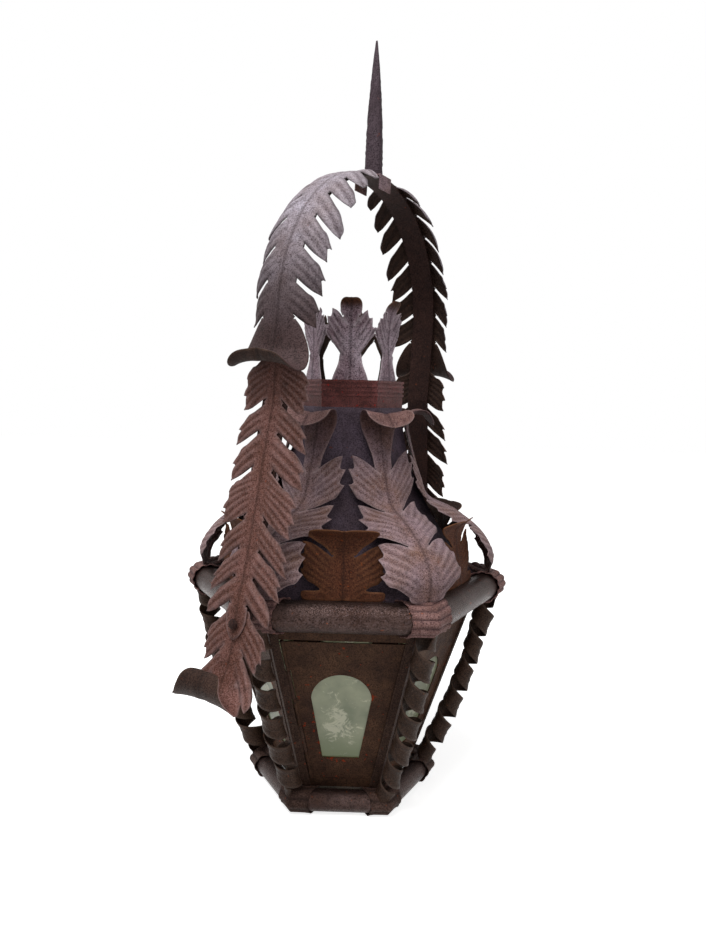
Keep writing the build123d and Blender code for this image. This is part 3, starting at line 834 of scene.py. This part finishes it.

    # Painted highlights along the edges and on the crests, painted shade in the grooves, and a darker
    # end
    rim_share, rim_width = 0.45, 1.2
    gone = np.clip((along / run[-1] - dark[0]) / (dark[1] - dark[0]), 0, 1)
    marks = {
        "rim_highlight": np.maximum(rim_share * np.exp(-near / rim_width), crest_highlights),
        "crease_shade": np.clip(crease_shade, 0, 1),
        "tail": gone * gone * (3 - 2 * gone),
    }
    faces = [tuple(f)[::-side] for f in filled[2]]
    piece = sheet_piece(name, points, faces, body, thickness=1.0, marks=marks)
    piece.data.materials.append(iron)
    piece.data.materials.append(under or underside)
    piece.modifiers["sheet"].material_offset = 1
    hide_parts(node_name)


# Backs of the leaves, which nothing rubs: dark brown rust without any highlight
underside = rusted_iron(
    "dark leaf underside",
    worn="#3d2b24",
    brown="#2b1c17",
    pit="#18100e",
    pale="#574439",
    speck="#673522",
    speck_share=0.02,
)
# Weathered sheet with a mauve-grey bloom, with painted shade in its hollows and darker towards the tip
# as painted shade under the collar
mauve_leaf = rusted_iron(
    "mauve leaf iron",
    worn="#957d83",
    brown="#7e5d50",
    pit="#3e2e2f",
    pale="#b9a4a6",
    speck="#764532",
    speck_share=0.02,
    tail="#a99d9c",
)
# A spine gives distance from the axis and height. A cut gives the edge at the foot, the ends of the
# slits, the lobes between them (reach, rake and teeth), the edge at the end, the share of its room
# that a lobe fills, and the height of the ridges.
corner_spine = [
    (175.4, 271.6),
    (177.4, 293.6),
    (163.4, 317.6),
    (135.4, 339.6),
    (97.4, 359.5),
    (84.7, 388.4),
    (73.6, 425.4),
    (69.8, 448.2),
    (76.0, 459.4),
    (88.0, 460.4),
    (95.0, 453.4),
]
corner_cut = (
    [(0, 0), (-2, 10), (0, 19)],
    [(4, 22), (62, 14), (120, 13), (172, 11)],
    [(50, 54, 3), (48, 48, 3), (42, 44, 3)],
    [(186, 12), (204, 17), (222, 23), (240, 28), (254, 30), (263, 22), (267, 10), (268, 0)],
    0.985,
    0.9,
)
for i, azimuth in enumerate(CORNERS):
    leaf(
        f"roof_corner_leaf_{i + 1}",
        f"corner_leaf_{i + 1}",
        azimuth,
        corner_spine,
        corner_cut,
        fold=6,
        roll=150,
        side=1,
        seed=20 + i,
        iron=mauve_leaf,
        # Darker towards the rolled tip: painted shade under the collar
        dark=(0.55, 0.9),
        under=wrap_iron,
    )

# Side leaves, one low on the middle of each side of the roof.
# A short, broad leaf of the same sheet, standing on the head rail between two corner leaves.

# Sheet sheltered by the corner leaves: an even ochre brown, with painted highlights along its edges
# and ridges
ochre_leaf = rusted_iron(
    "ochre leaf iron",
    worn="#573120",
    brown="#452417",
    pit="#23120c",
    pale="#82593d",
    speck="#863c12",
    speck_share=0.02,
)
face_spine = [(150.6, 269.4), (147.6, 290.4), (143.6, 314.4), (143.6, 332.4), (152.6, 341.4)]
face_cut = (
    [(0, 0), (-1, 15), (-1, 30), (0, 42), (8, 43), (9, 30)],
    [(10, 24), (46, 12)],
    [(47, 60, 3)],
    [(54, 19), (61, 29), (69, 37), (77, 30), (80, 15), (80, 0)],
    0.94,
    1.1,
)
for i in range(6):
    leaf(
        f"roof_side_leaf_{i + 1}",
        f"face_leaf_{i + 1}",
        -90 + 60 * i,
        face_spine,
        face_cut,
        fold=2,
        roll=200,
        side=1,
        seed=40 + i,
        iron=ochre_leaf,
    )

# Crown leaves, six of them standing in the collar.
# Narrow leaves of thin sheet with one pair of lobes, soldered inside the ring, their tips bent out.

# Sheet bleached by the weather: pale lilac grey, with painted highlights on the ridges and painted
# shade in the grooves, brown at the tip
crown_leaf_iron = rusted_iron(
    "crown leaf iron",
    worn="#b9a6b1",
    brown="#876d76",
    pit="#261b1f",
    pale="#d2c3c8",
    speck="#86602e",
    speck_share=0.03,
    tail="#7d5a3c",
)
crown_spine = [
    (50.7, 485.6),
    (50.7, 501.6),
    (48.7, 525.6),
    (48.7, 549.6),
    (51.7, 575.6),
    (59.7, 587.6),
]
crown_cut = (
    [(0, 0), (0, 12), (1, 22), (14, 20), (30, 14)],
    [(42, 12), (84, 10)],
    [(26, 36, 3)],
    [(90, 12), (100, 12), (106, 8), (107, 0)],
    0.94,
    2.1,
)
for i in range(6):
    leaf(
        f"crown_leaf_cut_{i + 1}",
        f"crown_leaf_{i + 1}",
        -90 + 60 * i,
        crown_spine,
        crown_cut,
        fold=3,
        roll=200,
        side=1,
        seed=60 + i,
        iron=crown_leaf_iron,
        dark=(0.84, 0.97),
    )

# Ribbons down the corners of the body.
# Each is one long strip of thin sheet wound like a curl of shaving between the two wraps, bowed
# outward, with shallow ridges along it.

# Thin strip: dark brown with a slight sheen, with painted highlights along its edges
ribbon_iron = rusted_iron(
    "wound ribbon iron",
    worn="#443127",
    brown="#312117",
    pit="#18100e",
    pale="#68554b",
    speck="#763e24",
    speck_share=0.02,
    rough=0.5,
)
ribbon_top = (176.36, 237.88)
ribbon_foot = (103.5, 24.25)
ribbon_turns, ribbon_radius, ribbon_width, ribbon_bow = 6.0, 10.5, 24.0, 9.0
looseness, ribbon_pitch, pitch_whim = 0.10, 0.40, 0.08
ridge_lift, edge_lift, edge_twist, edge_highlight = 0.35, 0.8, 1.4, 0.35
turn_steps, width_steps, whim_count = 40, 8, 14
for i, azimuth in enumerate(CORNERS):
    draw = np.random.default_rng(80 + i)
    whims = draw.uniform(-1, 1, whim_count)
    out, flank, up = outward(azimuth), sideways(azimuth), Vector((0, 0, 1))
    way = out * (ribbon_top[0] - ribbon_foot[0]) + up * (ribbon_top[1] - ribbon_foot[1])
    length = way.length
    way.normalize()
    off = way.cross(flank) * -1
    count = int(ribbon_turns * turn_steps)
    ribbon_points = []
    ribbon_rim = []
    for k in range(count + 1):
        share = k / count
        turn = 2 * pi * ribbon_turns * share
        whim = np.interp(share * (whim_count - 1), range(whim_count), whims)
        loose = ribbon_radius * (1 + looseness * whim)
        bow = 4 * ribbon_bow * share * (1 - share)
        spoke = off * cos(turn) - flank * sin(turn)
        tangent = flank * -cos(turn) - off * sin(turn)
        middle = out * ribbon_foot[0] + up * ribbon_foot[1] + way * (length * share) + off * bow
        across = (way - tangent * (ribbon_pitch + pitch_whim * whim)).normalized()
        for j in range(width_steps + 1):
            v = 2 * j / width_steps - 1
            lift = ridge_lift * cos(3 * pi * v) + edge_lift * abs(v) ** 3 + edge_twist * whim * v
            ribbon_points.append(middle + spoke * (loose + lift) + across * (v * ribbon_width / 2))
            # Painted highlight along both edges of the strip
            ribbon_rim.append(edge_highlight * abs(v) ** 8)
    row = width_steps + 1
    ribbon_faces = [
        (k * row + j, k * row + j + 1, (k + 1) * row + j + 1, (k + 1) * row + j)
        for k in range(count)
        for j in range(width_steps)
    ]
    ribbon = sheet_piece(
        f"ribbon_curl_{i + 1}",
        ribbon_points,
        ribbon_faces,
        "lantern",
        thickness=1.0,
        marks={"rim_highlight": ribbon_rim},
    )
    ribbon.data.materials.append(ribbon_iron)
    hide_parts(f"corner_ribbon_{i + 1}")

# Bail: a flat bar sprung over two opposite corners, turning on a rivet at each foot.
# Forged strap, bent hot to an arch. It stands a little out of upright.

# Forge scale gone to rust: blackish brown, close-grained and dull; part of its darkness is painted
# shade
forged_iron = rusted_iron(
    "forged strap iron",
    worn="#3b2621",
    brown="#291815",
    pit="#170e0e",
    pale="#584138",
    speck="#68341d",
    speck_share=0.02,
)
finish(forged_iron, "bail_bar", "bail_rivets")

# Leaves on the bail: an upper one over the bend with a rolled lip, a long lower one on the leg,
# and one rolled up at the tip. All are thin sheet, hammered as the roof's leaves are; each laps the
# next, and they share the pivot rivet at the foot.

BAIL_AZIMUTH, BAIL_LEAN, PIVOT_HEIGHT = 60.0, 2.9, 252.38
pivot = Matrix.Translation((0, 0, PIVOT_HEIGHT))
lean = pivot @ Matrix.Rotation(radians(BAIL_LEAN), 4, outward(BAIL_AZIMUTH)) @ pivot.inverted()
# Sheet at the top of the bail: lavender grey with a slight sheen, partly weathering and partly painted
# sky light on the top, browning towards the lip as painted shade
sky_sheen_leaf = rusted_iron(
    "lavender leaf iron",
    worn="#a69ea9",
    brown="#887a7e",
    pit="#423538",
    pale="#b5acb1",
    speck="#6c4034",
    speck_share=0.02,
    rough=0.5,
    tail="#79645e",
)
# Sheet on the legs, without the painted sky light of the top: russet brown, with painted highlights in
# greyish pink on its ridges and edges
russet_leaf = rusted_iron(
    "russet leaf iron",
    worn="#7c564f",
    brown="#644035",
    pit="#331f19",
    pale="#a38987",
    speck="#763e2b",
    speck_share=0.02,
)
upper_spine = [
    (17.4, 730.6),
    (51.3, 723.4),
    (83.1, 709.3),
    (111.2, 688.9),
    (134.4, 663.0),
    (151.8, 633.0),
    (162.5, 599.9),
    (166.2, 565.4),
    (168.0, 541.4),
    (171.5, 524.4),
    (179.5, 513.4),
    (190.5, 511.4),
    (198.0, 517.5),
    (200.0, 527.5),
]
upper_cut = (
    [(9, 0), (9, 7), (10, 12)],
    [(13, 14), (40, 17), (74, 17), (110, 17), (146, 18), (182, 18), (218, 18), (254, 20)],
    [(38, 58, 1), (42, 54, 1), (46, 52, 1), (48, 52, 1), (48, 52, 2), (48, 54, 2), (45, 56, 2)],
    [(262, 27), (276, 35), (290, 41), (303, 43), (314, 38), (323, 24), (327, 0)],
    0.84,
    1.4,
)
lower_spine = [
    (165.3, 523.4),
    (165.3, 499.4),
    (165.3, 475.4),
    (172.0, 439.7),
    (178.8, 404.0),
    (185.1, 370.6),
    (191.4, 337.1),
    (197.7, 303.7),
    (205.9, 274.4),
    (212.9, 237.4),
]
lower_cut = (
    [(0, 0), (0, 8), (1, 11)],
    [(4, 12), (54, 12), (84, 12), (122, 13), (172, 13), (202, 13), (230, 12), (257, 11)],
    [(44, 60, 3), (46, 56, 2), (48, 56, 2), (50, 58, 3), (49, 54, 2), (48, 54, 2), (42, 50, 1)],
    [(263, 12), (273, 12), (283, 9), (290, 4), (292, 0)],
    0.84,
    1.7,
)
tip_spine = [
    (204.8, 266.4),
    (211.2, 232.4),
    (219.7, 206.4),
    (231.7, 188.4),
    (247.7, 184.4),
    (258.7, 194.4),
    (261.0, 206.0),
    (255.0, 215.0),
    (246.0, 215.0),
]
tip_cut = (
    [(0, 0), (0, 8), (1, 13)],
    [(5, 15), (46, 16), (72, 18)],
    [(40, 46, 3), (42, 38, 1)],
    [(82, 28), (94, 34), (104, 40), (112, 34), (124, 27), (136, 22), (144, 13), (146, 0)],
    0.9,
    1.5,
)
# The top leaf darkens towards its lip as painted shade
upper_dark, upper_bell = (0.36, 0.85), 2.0
for n, (arm, azimuth) in enumerate((("far", BAIL_AZIMUTH), ("near", BAIL_AZIMUTH + 180))):
    for label, spine, cut, roll, iron, seed in (
        ("upper", upper_spine, upper_cut, 36, sky_sheen_leaf, 100),
        ("lower", lower_spine, lower_cut, 90, russet_leaf, 110),
        ("tip", tip_spine, tip_cut, 120, russet_leaf, 120),
    ):
        leaf(
            f"bail_leaf_{label}_{arm}",
            f"bail_{label}_leaf_{arm}",
            azimuth,
            spine,
            cut,
            fold=0,
            roll=roll,
            side=-1,
            seed=seed + n,
            iron=iron,
            body="bail",
            leant=lean,
            dark=upper_dark if label == "upper" else UNDARKENED,
            bell=upper_bell if label == "upper" else 0.0,
        )

# Spike and the saddle that it stands on, at the crown of the bail.
# The spike is a bar hammered to a point; the saddle is folded over the strap from the thin sheet of
# the leaves, and has their mauve-grey finish.

# Hammered bar: cold grey, pitted and dull
spike_iron = rusted_iron(
    "hammered spike iron",
    worn="#4f4249",
    brown="#3d3035",
    pit="#231b1f",
    pale="#6a5e64",
    speck="#673527",
    speck_share=0.01,
)
spike_low, spike_high = (np.array(corner) * 1000 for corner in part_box("spike"))
spike_width, spike_depth, spike_tip = 20.0, 12.0, 0.1
spike_rings, spike_sides, squareness, hammer_mark = 44, 16, -0.8, 0.035
spike_middle = (spike_low + spike_high) / 2
draw = np.random.default_rng(140)
spike_points = []
for i in range(spike_rings + 1):
    share = i / spike_rings
    full = 1 - (1 - spike_tip) * share**2
    for k in range(spike_sides):
        turn = 2 * pi * (k + 0.5) / spike_sides
        squared = max(abs(cos(turn)), abs(sin(turn))) ** squareness
        blow = 1 + hammer_mark * draw.uniform(-1, 1)
        side_run = spike_width / 2 * full * cos(turn) * squared * blow
        out_run = spike_depth / 2 * full * sin(turn) * squared * blow
        spot = sideways(BAIL_AZIMUTH) * side_run + outward(BAIL_AZIMUTH) * out_run
        rise = spike_low[2] + (spike_high[2] - spike_low[2]) * share
        spike_points.append((spike_middle[0] + spot.x, spike_middle[1] + spot.y, rise))
tip_start = spike_rings * spike_sides
spike_faces = [
    tuple(range(spike_sides - 1, -1, -1)),
    tuple(range(tip_start, tip_start + spike_sides)),
]
for i in range(spike_rings):
    for k in range(spike_sides):
        a, b = i * spike_sides + k, i * spike_sides + (k + 1) % spike_sides
        spike_faces.append((a, b, b + spike_sides, a + spike_sides))
spike = sheet_piece("spike_hammered", spike_points, spike_faces, "bail")
spike.data.materials.append(spike_iron)
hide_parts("spike")
finish(mauve_leaf, "spike_saddle")

# Stage: a pale floor and backdrop, soft light from above and in front, and the viewing camera.
# Camera, glossy and transmission rays see white; other rays see a greyer floor and a dim sky, so
# that little light bounces up under the lantern.


def seen_rays(material):
    """1 for the rays that the eye follows, straight, mirrored or through glass."""
    rays = node(material, "ShaderNodeLightPath")
    seen = node(
        material,
        "ShaderNodeMath",
        {0: rays.outputs["Is Camera Ray"], 1: rays.outputs["Is Glossy Ray"]},
        operation="MAXIMUM",
    )
    through = node(
        material,
        "ShaderNodeMath",
        {0: seen.outputs[0], 1: rays.outputs["Is Transmission Ray"]},
        operation="MAXIMUM",
    )
    return through.outputs[0]


# Matt paper: white to the eye, with the lantern's shadow left on it
white = bpy.data.materials.new("pale floor")
white.use_nodes = True
white.node_tree.nodes.clear()
floor_glow, floor_reach, floor_level = 0.72, 6, -0.0005
ground = node(white, "ShaderNodeBsdfDiffuse", {"Color": shade("#f2f2f2")})
glow = node(white, "ShaderNodeEmission", {"Color": shade("#ffffff"), "Strength": floor_glow})
lifted = node(white, "ShaderNodeAddShader", {0: ground.outputs[0], 1: glow.outputs[0]})
shaded = node(white, "ShaderNodeBsdfDiffuse", {"Color": shade("#9a9a9a")})
paper = node(
    white,
    "ShaderNodeMixShader",
    {0: seen_rays(white), 1: shaded.outputs[0], 2: lifted.outputs[0]},
)
node(white, "ShaderNodeOutputMaterial", {"Surface": paper.outputs[0]})
floor_corners = [(-1, -1), (1, -1), (1, 1), (-1, 1)]
floor_mesh = bpy.data.meshes.new("floor")
floor_mesh.from_pydata(
    [(x * floor_reach, y * floor_reach, floor_level) for x, y in floor_corners], [], [(0, 1, 2, 3)]
)
floor = bpy.data.objects.new("floor", floor_mesh)
bpy.context.collection.objects.link(floor)
floor.data.materials.append(white)

world = bpy.data.worlds.new("studio")
bpy.context.scene.world = world
world.use_nodes = True
world.node_tree.nodes.clear()
ambient_strength = 0.3
ambient = node(
    world,
    "ShaderNodeBackground",
    {"Color": shade("#ffffff"), "Strength": ambient_strength},
)
backdrop = node(world, "ShaderNodeBackground", {"Color": shade("#ffffff"), "Strength": 1.0})
sky = node(
    world,
    "ShaderNodeMixShader",
    {0: seen_rays(world), 1: ambient.outputs[0], 2: backdrop.outputs[0]},
)
node(world, "ShaderNodeOutputWorld", {"Surface": sky.outputs[0]})

lamp_target = Vector((0, 0, 0.4))
for name, place, size, watts in (
    ("top light", (-0.6, -0.9, 2.6), 1.6, 64),
    ("front light", (0.9, -2.4, 1.3), 1.6, 15),
):
    light = bpy.data.lights.new(name, "AREA")
    light.shape = "SQUARE"
    light.size = size
    light.energy = watts
    lamp = bpy.data.objects.new(name, light)
    lamp.location = place
    lamp.rotation_euler = (lamp_target - Vector(place)).to_track_quat("-Z", "Y").to_euler()
    bpy.context.collection.objects.link(lamp)

YAW, PITCH, ROLL = radians(0.86), radians(-6.1), radians(1.36)
camera_place = (0.0182, -0.8624, 0.4807)
aim = Matrix.Rotation(YAW, 3, "Z") @ Matrix.Rotation(PITCH, 3, "X")
forward, right, above = aim @ Vector((0, 1, 0)), aim @ Vector((1, 0, 0)), aim @ Vector((0, 0, 1))
level = right * cos(ROLL) + above * sin(ROLL)
upright = above * cos(ROLL) - right * sin(ROLL)
turned = Matrix((level, upright, -forward)).transposed().to_4x4()
lens = bpy.data.cameras.new("viewing camera")
lens.sensor_fit = "VERTICAL"
lens.sensor_height = 36.0
lens.lens = 27.05
camera = bpy.data.objects.new("viewing camera", lens)
camera.matrix_world = Matrix.Translation(camera_place) @ turned
bpy.context.collection.objects.link(camera)
bpy.context.scene.camera = camera
bpy.context.scene.view_settings.view_transform = "Standard"
